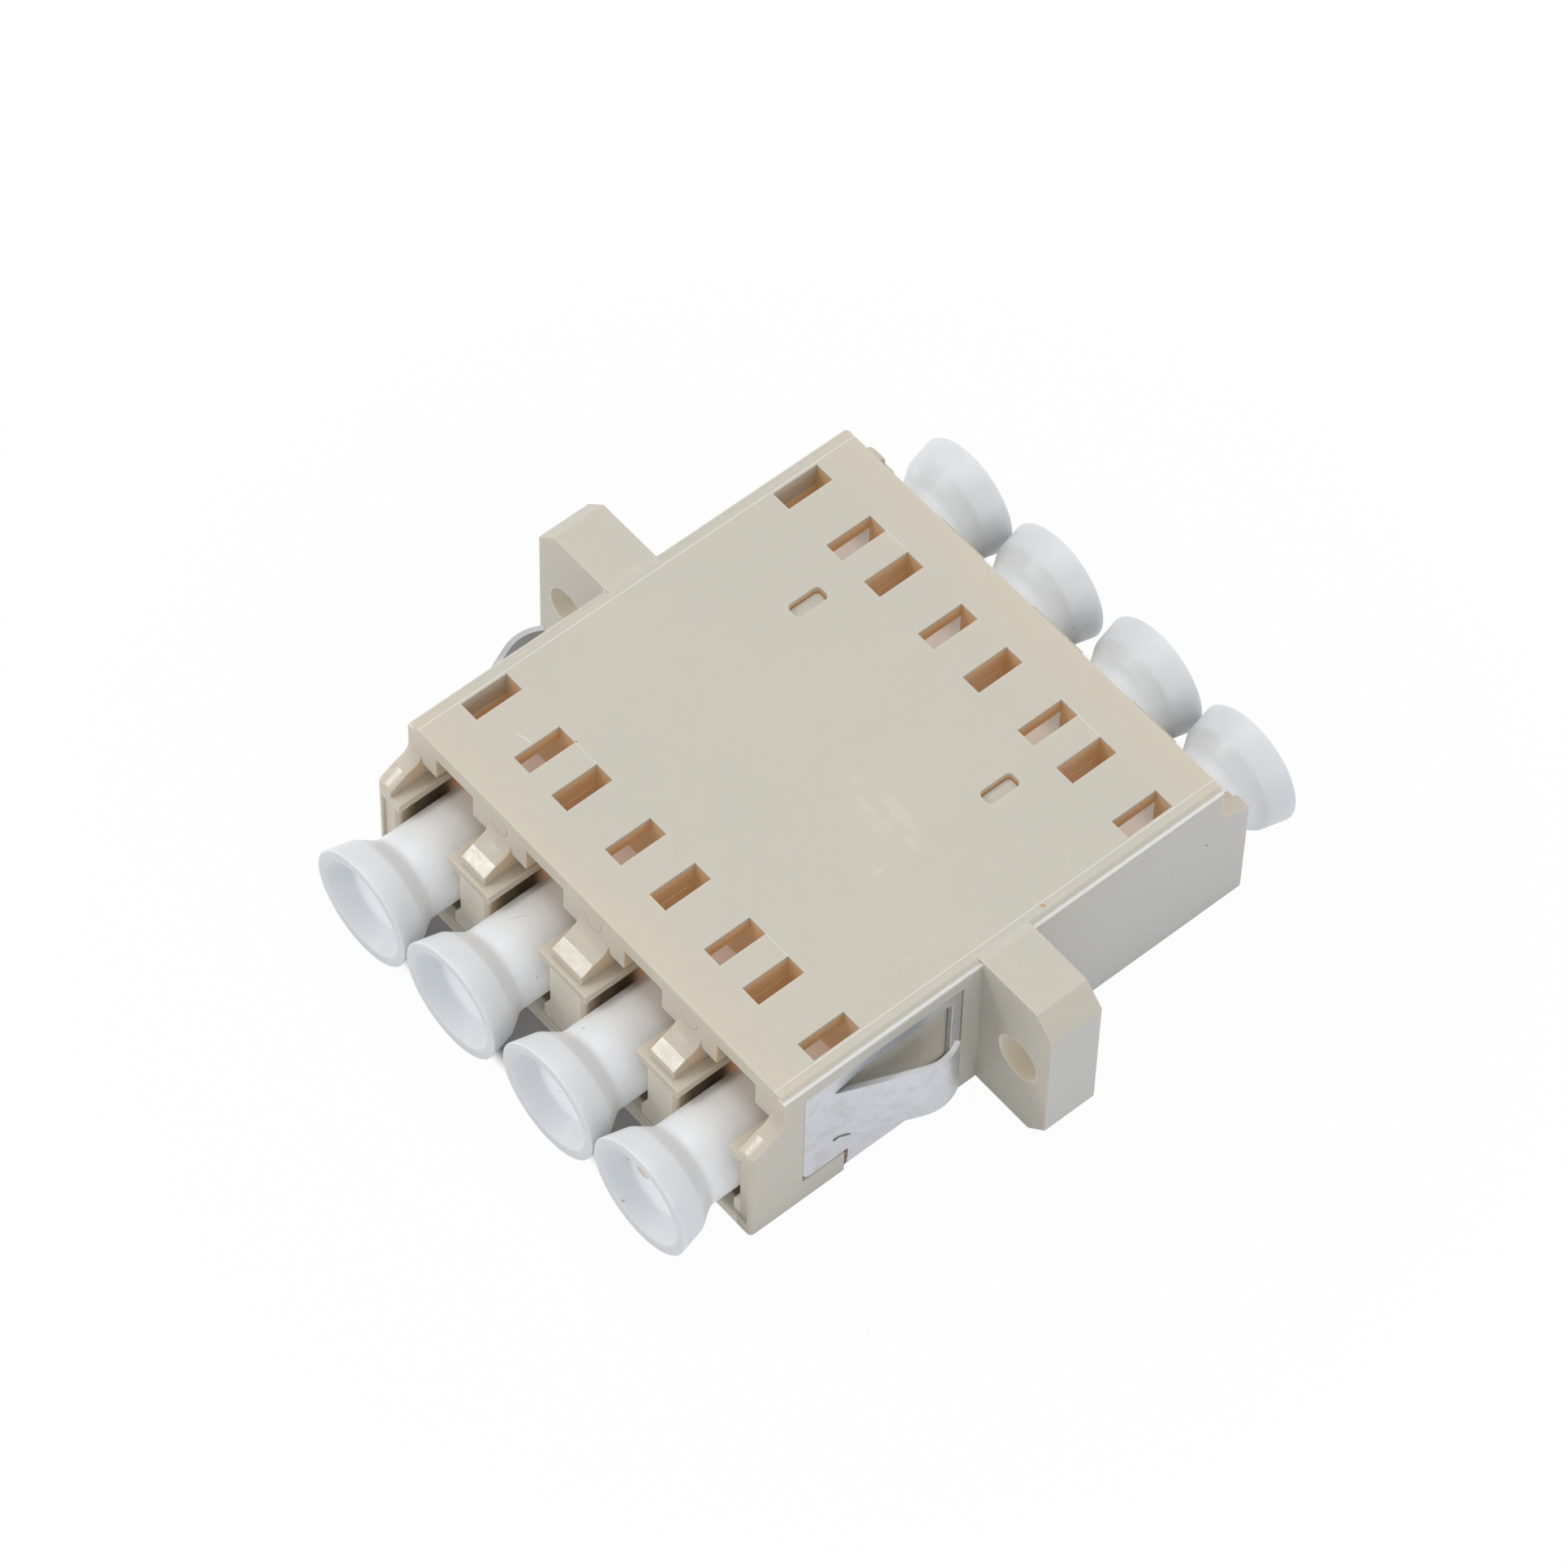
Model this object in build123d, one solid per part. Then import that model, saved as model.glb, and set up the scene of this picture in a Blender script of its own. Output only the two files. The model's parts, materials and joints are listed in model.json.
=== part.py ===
from build123d import *
import os

# Four-port small-form fibre optic adapter with flange, side clip and dust caps.
# Frame: X across the ports, Y along the ports, Z up, millimetres.
# Origin: bottom centre, with Y = 0 at the middle of the flange.

# Housing body
BODY_HALF_X = 12.85
OUTER_WALL = 0.93
BODY_HALF_Y = 14.4
BODY_HEIGHT = 9.2
PLATE_HALF_Y = 12.6
PLATE_THICK = 0.95
TOP_EDGE_R = 0.5
CORNER_R = 0.25

# Ports: four in a row, spread evenly over the width but for a little more at the centre
PORT_HALF = 2.32
CENTRE_EXTRA = 0.225
PORT_PITCH = (BODY_HALF_X - OUTER_WALL - PORT_HALF - CENTRE_EXTRA) / 1.5
INNER_PORT_X = PORT_PITCH / 2 + CENTRE_EXTRA
OUTER_PORT_X = INNER_PORT_X + PORT_PITCH
PAIR_X = (INNER_PORT_X + OUTER_PORT_X) / 2
PORT_XS = (-OUTER_PORT_X, -INNER_PORT_X, INNER_PORT_X, OUTER_PORT_X)
PORT_FLOOR = 0.7
PORT_CEILING = 5.25
PORT_AXIS_Z = 3.05
PORT_INNER_Y = 1.5

# Latch side of each port: keyway, catch blocks, windows, shelf
SHELF_TOP = 5.75
SHELF_REACH = 1.7
LUG_INNER_Y = 7.7
BLOCK_REACH = 1.27
BLOCK_BOTTOM = 6.85
CATCH_Y = 10.25
WINDOW_NEAR = 1.3
WINDOW_FAR = 2.37

# Lead-in ramp on top of each wall between the plate and the wall's end
RAMP_HIGH = 7.0
RAMP_R = 0.7
KNEE_Y = 13.45
KNEE_Z = 6.66
RAMP_LOW = 6.1
NOSE_R = 0.2
NOSE_SETBACK = 0.28
WALL_RIM = 0.3
PILLAR_SETBACK = 0.15
FOOT_WIDTH = 0.4
FOOT_HEIGHT = 1.05
FOOT_LENGTH = 1.5
FOOT_BEVEL = 0.25

# Flange
FLANGE_HALF_X = 17.4
FLANGE_THICK = 2.9
FLANGE_CHAMFER = 1.05
SCREW_EAR_SHARE = 0.56
SCREW_X = BODY_HALF_X + SCREW_EAR_SHARE * (FLANGE_HALF_X - BODY_HALF_X)
SCREW_R = 1.2

# Sleeve holder: drops in from below and snaps into the slot in the top plate
HOLDER_FRONT_Y = -2.3
HOLDER_REAR_Y = 6.4
HOLDER_GAP = 0.05
CENTRE_WALL_HALF = INNER_PORT_X - PORT_HALF
PAIR_WALL_HALF = PORT_PITCH / 2 - PORT_HALF
SLOT_LENGTH = 1.83
SLOT_WIDTH = 0.8
SLOT_Y = 5.07
SLOT_CORNER_R = 0.25
HOOK_DROP = 0.35
WEB_HALF = 1.0
BARREL_R = 1.2
BARREL_END = 6.8

# Split sleeve
SLEEVE_LENGTH = 11.4
SLEEVE_R = 0.81
SLEEVE_BORE_R = 0.625
SLEEVE_SLIT = 0.35
SLEEVE_GAP = 0.03
LIP_BORE_R = 0.68

# Panel clip: one strip of spring sheet, bent to a U with a tongue lanced out of each side
SHEET = 0.3
CLIP_FRONT_Y = -11.4
CLIP_REAR_Y = -2.5
CLIP_TOP = 8.05
CLIP_STEP_Y = -9.0
CLIP_STEP_Z = 1.5
CLIP_RECESS = 0.05
CLIP_GAP = 0.04
CLIP_CORNER_R = 0.5
TONGUE_ROOT_Y = -9.7
TONGUE_BEND_Y = -5.84
TONGUE_TIP_Y = -3.84
TONGUE_OUT = 1.63
TONGUE_TIP_OUT = 1.43
TONGUE_BOTTOM = 3.2
TONGUE_TOP = 6.9
CUT_END_Y = -3.05
CUT_TOP = 7.4
CUT_SHOULDER_Y = -8.4
CUT_BOTTOM = 2.95
CUT_CORNER_R = 0.3
BEND_R = 0.4

# Dust cap
CAP_TIP_Y = 4.6
CAP_SHOULDER_Y = 8.3
CAP_CONE_Y = 15.65
CAP_BAND_Y = 16.6
CAP_END_Y = 18.0
CAP_NOSE_R = 1.65
CAP_GRIP_R = 2.1
CAP_ROOM = 0.05
CAP_RIM_R = PORT_PITCH / 2 - CAP_ROOM
CAP_TAPER = 0.33
CAP_REAR_SEAT = 0.45
CAP_FIT = 0.05
CAP_BORE_END_Y = 7.5
CUP_LIP = 0.57
CUP_RIM_R = CAP_RIM_R - CUP_LIP
CUP_FLOOR_R = 1.9
CUP_DEPTH = 1.1

PAST = 1.0


def box(x0, x1, y0, y1, z0, z1):
    """A box between two corners."""
    size = Box(x1 - x0, y1 - y0, z1 - z0)
    return Pos((x0 + x1) / 2, (y0 + y1) / 2, (z0 + z1) / 2) * size


def end_box(x0, x1, y0, y1, z0, z1, end):
    """A box whose Y range is given for the front end and mirrored for the rear."""
    if end < 0:
        return box(x0, x1, -y1, -y0, z0, z1)
    return box(x0, x1, y0, y1, z0, z1)


def body_block():
    """The body with rounded long top edges and rounded upright corners."""
    body = box(-BODY_HALF_X, BODY_HALF_X, -BODY_HALF_Y, BODY_HALF_Y, 0, BODY_HEIGHT)
    body = fillet(body.edges().filter_by(Axis.Z), CORNER_R)
    long_tops = body.edges().filter_by(Axis.Y).group_by(Axis.Z)[-1]
    return fillet(long_tops, TOP_EDGE_R)


def ramp_cutter(end):
    """Everything above the walls' lead-in ramp, from the plate's edge out past the nose."""
    high = BODY_HEIGHT + PAST
    far = BODY_HALF_Y + PAST
    with BuildSketch(Plane.YZ) as sketch:
        with BuildLine():
            FilletPolyline(
                (PLATE_HALF_Y, high),
                (PLATE_HALF_Y, RAMP_HIGH),
                (KNEE_Y, KNEE_Z),
                (BODY_HALF_Y, RAMP_LOW),
                (BODY_HALF_Y, SHELF_TOP),
                (far, SHELF_TOP),
                (far, high),
                radius=(RAMP_R, NOSE_R, NOSE_R, NOSE_R, NOSE_R),
            )
            Line((far, high), (PLATE_HALF_Y, high))
        make_face()
    cutter = extrude(sketch.sketch, amount=BODY_HALF_X + PAST, both=True)
    if end < 0:
        cutter = mirror(cutter, Plane.XZ)
    return cutter


def port_cavity(x, end):
    """One port from its mouth inward: plug space, keyway neck and lug space."""
    mouth = BODY_HALF_Y + PAST
    plug = end_box(x - PORT_HALF, x + PORT_HALF, PORT_INNER_Y, mouth, PORT_FLOOR, PORT_CEILING, end)
    neck = end_box(x - SHELF_REACH, x + SHELF_REACH, LUG_INNER_Y, mouth, PORT_CEILING, SHELF_TOP, end)
    lug_top = BODY_HEIGHT - PLATE_THICK
    lug = end_box(x - PORT_HALF, x + PORT_HALF, LUG_INNER_Y, mouth, SHELF_TOP, lug_top, end)
    for side in (-1, 1):
        near = x + side * BLOCK_REACH
        far = x + side * (PORT_HALF + PAST)
        lug -= end_box(min(near, far), max(near, far), CATCH_Y, PLATE_HALF_Y, BLOCK_BOTTOM, lug_top, end)
    return plug + neck + lug


def port_windows(x, end):
    """The two catch windows in the top plate over one port."""
    cut = None
    for side in (-1, 1):
        near = x + side * WINDOW_NEAR
        far = x + side * WINDOW_FAR
        low = BODY_HEIGHT - PLATE_THICK - PAST / 2
        high = BODY_HEIGHT + PAST
        window = end_box(min(near, far), max(near, far), LUG_INNER_Y, CATCH_Y, low, high, end)
        cut = window if cut is None else cut + window
    return cut


def holder_opening(side):
    """The pocket for one sleeve holder, open to the bottom, with its hook slot above."""
    near = side * CENTRE_WALL_HALF
    far = side * (OUTER_PORT_X + PORT_HALF)
    x0, x1 = min(near, far), max(near, far)
    pocket = box(x0, x1, HOLDER_FRONT_Y, HOLDER_REAR_Y, -PAST, PORT_CEILING)
    slot = extrude(RectangleRounded(SLOT_WIDTH, SLOT_LENGTH, SLOT_CORNER_R), BODY_HEIGHT + PAST)
    return pocket + Pos(side * PAIR_X, SLOT_Y, PORT_CEILING - PAST / 2) * slot


def clip_pocket():
    """The shallow recess round both sides and the bottom that takes the clip."""
    depth = SHEET + CLIP_RECESS + CLIP_GAP
    cut = box(
        -BODY_HALF_X - PAST, BODY_HALF_X + PAST,
        CLIP_STEP_Y - CLIP_GAP, CLIP_REAR_Y + CLIP_GAP,
        -PAST, depth,
    )
    for side in (-1, 1):
        inner = side * (BODY_HALF_X - depth)
        outer = side * (BODY_HALF_X + PAST)
        x0, x1 = min(inner, outer), max(inner, outer)
        front = CLIP_FRONT_Y - CLIP_GAP
        rear = CLIP_REAR_Y + CLIP_GAP
        upper = box(x0, x1, front, rear, CLIP_STEP_Z - CLIP_GAP, CLIP_TOP + CLIP_GAP)
        lower = box(x0, x1, CLIP_STEP_Y - CLIP_GAP, rear, -PAST, CLIP_STEP_Z)
        cut += upper + lower
    return cut


def flange():
    """The mounting flange with chamfered ends and two screw holes."""
    half = FLANGE_THICK / 2
    plate = box(-FLANGE_HALF_X, FLANGE_HALF_X, -half, half, 0, BODY_HEIGHT)
    ends = plate.edges().filter_by(Axis.Y)
    plate = chamfer(ends, FLANGE_CHAMFER)
    for side in (-1, 1):
        hole = Cylinder(SCREW_R, FLANGE_THICK + PAST, rotation=(90, 0, 0))
        plate -= Pos(side * SCREW_X, 0, BODY_HEIGHT / 2) * hole
    return plate


def corner_foot(x, side, end):
    """The small bevelled foot where a port's wall meets its floor, just inside the mouth."""
    wall = x + side * PORT_HALF
    tip = wall - side * FOOT_WIDTH
    front = BODY_HALF_Y - PILLAR_SETBACK
    top = PORT_FLOOR + FOOT_HEIGHT
    foot = end_box(min(wall, tip), max(wall, tip), front - FOOT_LENGTH, front, PORT_FLOOR, top, end)
    free_edge = foot.edges().filter_by(Axis.Y).sort_by(lambda e: e.center().Z - side * e.center().X)[-1]
    return chamfer(free_edge, FOOT_BEVEL)


def front_setback(end):
    """Sets the pillars' noses back behind their shelves, and the walls' fronts back under them."""
    far = BODY_HALF_Y + PAST
    ports = OUTER_PORT_X + PORT_HALF
    rims = BODY_HALF_X - WALL_RIM
    nose = end_box(-ports, ports, BODY_HALF_Y - NOSE_SETBACK, far, SHELF_TOP, BODY_HEIGHT, end)
    return nose + end_box(-rims, rims, BODY_HALF_Y - PILLAR_SETBACK, far, PORT_FLOOR, PORT_CEILING, end)


def housing():
    """The one-piece moulded housing."""
    body = body_block() + flange()
    for end in (-1, 1):
        body -= ramp_cutter(end)
        body -= front_setback(end)
        for x in PORT_XS:
            body -= port_cavity(x, end)
            body -= port_windows(x, end)
            body += [corner_foot(x, side, end) for side in (-1, 1)]
    for side in (-1, 1):
        body -= holder_opening(side)
    return body - clip_pocket()


def sleeve_holder(side):
    """One holder for two sleeves: base, web, two barrels and the snap hook."""
    near = side * (CENTRE_WALL_HALF + HOLDER_GAP)
    far = side * (OUTER_PORT_X + PORT_HALF - HOLDER_GAP)
    x0, x1 = min(near, far), max(near, far)
    base = box(x0, x1, HOLDER_FRONT_Y + HOLDER_GAP, HOLDER_REAR_Y - HOLDER_GAP, 0, PORT_FLOOR)
    web = box(x0, x1, -WEB_HALF, WEB_HALF, 0, PORT_CEILING - HOLDER_GAP)
    length = SLOT_LENGTH - 2 * HOLDER_GAP
    width = SLOT_WIDTH - 2 * HOLDER_GAP
    arm = extrude(RectangleRounded(width, length, SLOT_CORNER_R), BODY_HEIGHT - HOOK_DROP)
    shape = base + web + Pos(side * PAIR_X, SLOT_Y, 0) * arm
    rib_rear = SLOT_Y + length / 2 - SLOT_CORNER_R
    shape += box(side * PAIR_X - width / 2, side * PAIR_X + width / 2, 0, rib_rear, 0, PORT_CEILING - HOLDER_GAP)
    for x in (side * INNER_PORT_X, side * OUTER_PORT_X):
        barrel = Cylinder(BARREL_R, 2 * BARREL_END, rotation=(90, 0, 0))
        lip_bore = Cylinder(LIP_BORE_R, 2 * BARREL_END + PAST, rotation=(90, 0, 0))
        seat = Cylinder(SLEEVE_R + SLEEVE_GAP, SLEEVE_LENGTH + 2 * HOLDER_GAP, rotation=(90, 0, 0))
        place = Pos(x, 0, PORT_AXIS_Z)
        shape = shape + place * barrel
        shape = shape - place * lip_bore - place * seat
    return shape


def split_sleeve(x):
    """A slit spring sleeve that lines up two ferrules."""
    tube = Cylinder(SLEEVE_R, SLEEVE_LENGTH, rotation=(90, 0, 0))
    tube -= Cylinder(SLEEVE_BORE_R, SLEEVE_LENGTH + PAST, rotation=(90, 0, 0))
    half_slit = SLEEVE_SLIT / 2
    half = SLEEVE_LENGTH / 2 + PAST
    tube -= box(-half_slit, half_slit, -half, half, 0, SLEEVE_R + PAST)
    return Pos(x, 0, PORT_AXIS_Z) * tube


def clip_side_outline():
    """The side plate above the bends, seen from the side, with the tongue cut out."""
    with BuildSketch(Plane.YZ) as sketch:
        with BuildLine():
            Polyline(
                (CLIP_FRONT_Y, CLIP_STEP_Z),
                (CLIP_FRONT_Y, CLIP_TOP),
                (CLIP_REAR_Y, CLIP_TOP),
                (CLIP_REAR_Y, CLIP_STEP_Z),
                close=True,
            )
        make_face()
        corner = sketch.vertices().sort_by(lambda v: v.Y - v.Z)[0]
        fillet(corner, CLIP_CORNER_R)
        with BuildLine():
            rear = FilletPolyline(
                (CUT_SHOULDER_Y, CUT_TOP),
                (CUT_END_Y, CUT_TOP),
                (CUT_END_Y, CUT_BOTTOM),
                (TONGUE_ROOT_Y, CUT_BOTTOM),
                radius=CUT_CORNER_R,
            )
            Polyline(rear @ 1, (TONGUE_ROOT_Y, TONGUE_TOP), rear @ 0)
        make_face(mode=Mode.SUBTRACT)
    return sketch.sketch


def clip_tongue():
    """The right-hand tongue: a straight leg leaning out, then a round bend back to its tip."""
    middle = BODY_HALF_X - CLIP_RECESS - SHEET / 2
    with BuildSketch(Plane.XY.offset(TONGUE_BOTTOM)) as sketch:
        with BuildLine():
            leg = Line((middle, TONGUE_ROOT_Y), (middle + TONGUE_OUT, TONGUE_BEND_Y))
            TangentArc(leg @ 1, (middle + TONGUE_TIP_OUT, TONGUE_TIP_Y), tangent=leg % 1)
        trace(line_width=SHEET)
    return extrude(sketch.sketch, amount=TONGUE_TOP - TONGUE_BOTTOM)


def clip_bend():
    """The right half of the bottom strip, turned up into the side plate."""
    outer = BODY_HALF_X - CLIP_RECESS
    inner = outer - SHEET
    low = CLIP_RECESS
    high = CLIP_RECESS + SHEET
    bend_x = outer - BEND_R
    bend_z = low + BEND_R
    with BuildSketch(Plane.XZ) as sketch:
        with BuildLine():
            Line((0, low), (bend_x, low))
            TangentArc((bend_x, low), (outer, bend_z), tangent=(1, 0))
            Line((outer, bend_z), (outer, CLIP_STEP_Z))
            Line((outer, CLIP_STEP_Z), (inner, CLIP_STEP_Z))
            Line((inner, CLIP_STEP_Z), (inner, bend_z))
            TangentArc((inner, bend_z), (bend_x, high), tangent=(0, -1))
            Line((bend_x, high), (0, high))
            Line((0, high), (0, low))
        make_face()
    strip = extrude(sketch.sketch, amount=CLIP_REAR_Y - CLIP_STEP_Y)
    return Pos(0, CLIP_REAR_Y, 0) * strip


def panel_clip():
    """The whole clip: two side plates, the bottom strip between them and two tongues."""
    inner = BODY_HALF_X - CLIP_RECESS - SHEET
    plate = Pos(inner, 0, 0) * extrude(clip_side_outline(), amount=SHEET)
    half = plate + clip_tongue() + clip_bend()
    return half + mirror(half, Plane.YZ)


def dust_cap(x, end):
    """A turned cap: bored nose, straight grip, cone, flared band and a cupped end."""
    with BuildSketch(Plane.XY) as sketch:
        with BuildLine():
            bore = BARREL_R + CAP_FIT
            Polyline(
                (0, CAP_BORE_END_Y),
                (bore, CAP_BORE_END_Y),
                (bore, CAP_TIP_Y),
                (CAP_NOSE_R, CAP_TIP_Y),
                (CAP_NOSE_R, CAP_SHOULDER_Y),
                (CAP_GRIP_R, CAP_SHOULDER_Y),
                (CAP_GRIP_R, CAP_CONE_Y),
                (CAP_RIM_R - CAP_TAPER, CAP_BAND_Y),
                (CAP_RIM_R, CAP_END_Y),
                (CUP_RIM_R, CAP_END_Y),
                (CUP_FLOOR_R, CAP_END_Y - CUP_DEPTH),
                (0, CAP_END_Y - CUP_DEPTH),
                close=True,
            )
        make_face()
    cap = revolve(sketch.sketch, Axis.Y)
    if end < 0:
        cap = mirror(cap, Plane.XZ)
        return Pos(x, 0, PORT_AXIS_Z) * cap
    return Pos(x, -CAP_REAR_SEAT, PORT_AXIS_Z) * cap


def main():
    """Builds every part and writes one file for each."""
    os.makedirs("parts", exist_ok=True)
    export_step(housing(), "parts/housing.step")
    export_step(sleeve_holder(-1), "parts/sleeve_holder_left.step")
    export_step(sleeve_holder(1), "parts/sleeve_holder_right.step")
    export_step(panel_clip(), "parts/panel_clip.step")
    for number, x in enumerate(PORT_XS, 1):
        export_step(split_sleeve(x), f"parts/split_sleeve_{number}.step")
        export_step(dust_cap(x, -1), f"parts/dust_cap_front_{number}.step")
        export_step(dust_cap(x, 1), f"parts/dust_cap_rear_{number}.step")


if __name__ == "__main__":
    main()
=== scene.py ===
import json
import logging
import math
from dataclasses import dataclass, field
from enum import Enum
from typing import Any, Iterable, Optional, Sequence, Union

import bmesh
import bpy
from mathutils import Matrix, Vector

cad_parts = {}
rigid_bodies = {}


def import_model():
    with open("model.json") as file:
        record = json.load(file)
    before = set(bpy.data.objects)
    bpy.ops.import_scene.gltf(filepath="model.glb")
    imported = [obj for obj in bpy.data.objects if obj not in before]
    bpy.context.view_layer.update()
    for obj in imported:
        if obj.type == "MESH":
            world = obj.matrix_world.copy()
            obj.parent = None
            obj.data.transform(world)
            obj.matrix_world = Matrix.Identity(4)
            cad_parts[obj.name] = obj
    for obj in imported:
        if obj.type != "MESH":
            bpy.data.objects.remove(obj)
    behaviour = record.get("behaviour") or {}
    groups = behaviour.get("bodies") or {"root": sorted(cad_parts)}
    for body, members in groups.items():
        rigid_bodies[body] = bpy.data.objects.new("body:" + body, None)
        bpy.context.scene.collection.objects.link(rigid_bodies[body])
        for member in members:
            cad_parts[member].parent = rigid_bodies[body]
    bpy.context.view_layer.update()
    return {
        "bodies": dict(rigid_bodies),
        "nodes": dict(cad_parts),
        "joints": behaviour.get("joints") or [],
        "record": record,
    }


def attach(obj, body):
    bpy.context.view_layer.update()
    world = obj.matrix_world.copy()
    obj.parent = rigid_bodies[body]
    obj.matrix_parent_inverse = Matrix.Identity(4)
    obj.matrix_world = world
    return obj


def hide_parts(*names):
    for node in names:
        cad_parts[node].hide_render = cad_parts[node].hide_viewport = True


# The looks of a four-port small-form fibre adapter: moulded housing, snap-in sleeve holders,
# spring panel clip and bell-shaped dust caps. Sizes are in millimetres in the CAD frame, with X
# across the ports, Y along them and Z up. The studio and the finished meshes are in metres.

MM = 0.001
HEIGHT = 9.2
BODY_HALF_X = 12.85
INNER_PORT_X = 3.35
OUTER_PORT_X = 9.60
PORT_AXIS_Z = 3.05
WELD = 0.001
FLAT_DEGREES = 0.4
TURN_DEGREES = 32.0
SHARP_DEGREES = 60.0
ADAPTER_BODY = "adapter"
EDGE_LAYER = "softened_edge"

Colour = tuple[float, float, float, float]
WHITE: Colour = (1.0, 1.0, 1.0, 1.0)
BLACK: Colour = (0.0, 0.0, 0.0, 1.0)
log = logging.getLogger("fibre_adapter")


class End(Enum):
    """The two ends of the adapter; the panel clip sits towards the front."""

    FRONT = -1
    REAR = 1


class Bend(Enum):
    """Whether an edge of a solid stands out or turns in."""

    OUTWARD = "outward"
    ANY = "any"


class Wire:
    """One output in a material's node tree, with arithmetic that adds Math nodes."""

    def __init__(self, bench: "Bench", socket: bpy.types.NodeSocket) -> None:
        """Wraps a socket of the bench's tree."""
        self.bench = bench
        self.socket = socket

    def __add__(self, other: "Value") -> "Wire":
        """Sum."""
        return self.bench.maths("ADD", self, other)

    __radd__ = __add__

    def __sub__(self, other: "Value") -> "Wire":
        """Difference."""
        return self.bench.maths("SUBTRACT", self, other)

    def __rsub__(self, other: "Value") -> "Wire":
        """Difference with the wire on the right."""
        return self.bench.maths("SUBTRACT", other, self)

    def __mul__(self, other: "Value") -> "Wire":
        """Product."""
        return self.bench.maths("MULTIPLY", self, other)

    __rmul__ = __mul__

    def __truediv__(self, other: "Value") -> "Wire":
        """Quotient."""
        return self.bench.maths("DIVIDE", self, other)

    def __pow__(self, other: "Value") -> "Wire":
        """Power."""
        return self.bench.maths("POWER", self, other)

    def __abs__(self) -> "Wire":
        """Absolute value."""
        return self.bench.maths("ABSOLUTE", self)

    def __gt__(self, other: "Value") -> "Wire":
        """One where the wire is greater, and zero elsewhere."""
        return self.bench.maths("GREATER_THAN", self, other)

    def __lt__(self, other: "Value") -> "Wire":
        """One where the wire is less, and zero elsewhere."""
        return self.bench.maths("LESS_THAN", self, other)


Value = Union[Wire, float]


@dataclass(frozen=True)
class Where:
    """The point being shaded, in millimetres, and the way its surface faces."""

    point: Wire
    x: Wire
    y: Wire
    z: Wire
    across: Wire
    along: Wire
    facing_x: Wire
    facing_y: Wire
    facing_z: Wire


@dataclass(frozen=True)
class Mark:
    """A small oval mark on a flat place, with its half sizes, its turn in degrees and its strength."""

    centre: tuple[float, float]
    half: tuple[float, float]
    turn: float = 0.0
    share: float = 1.0


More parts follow.
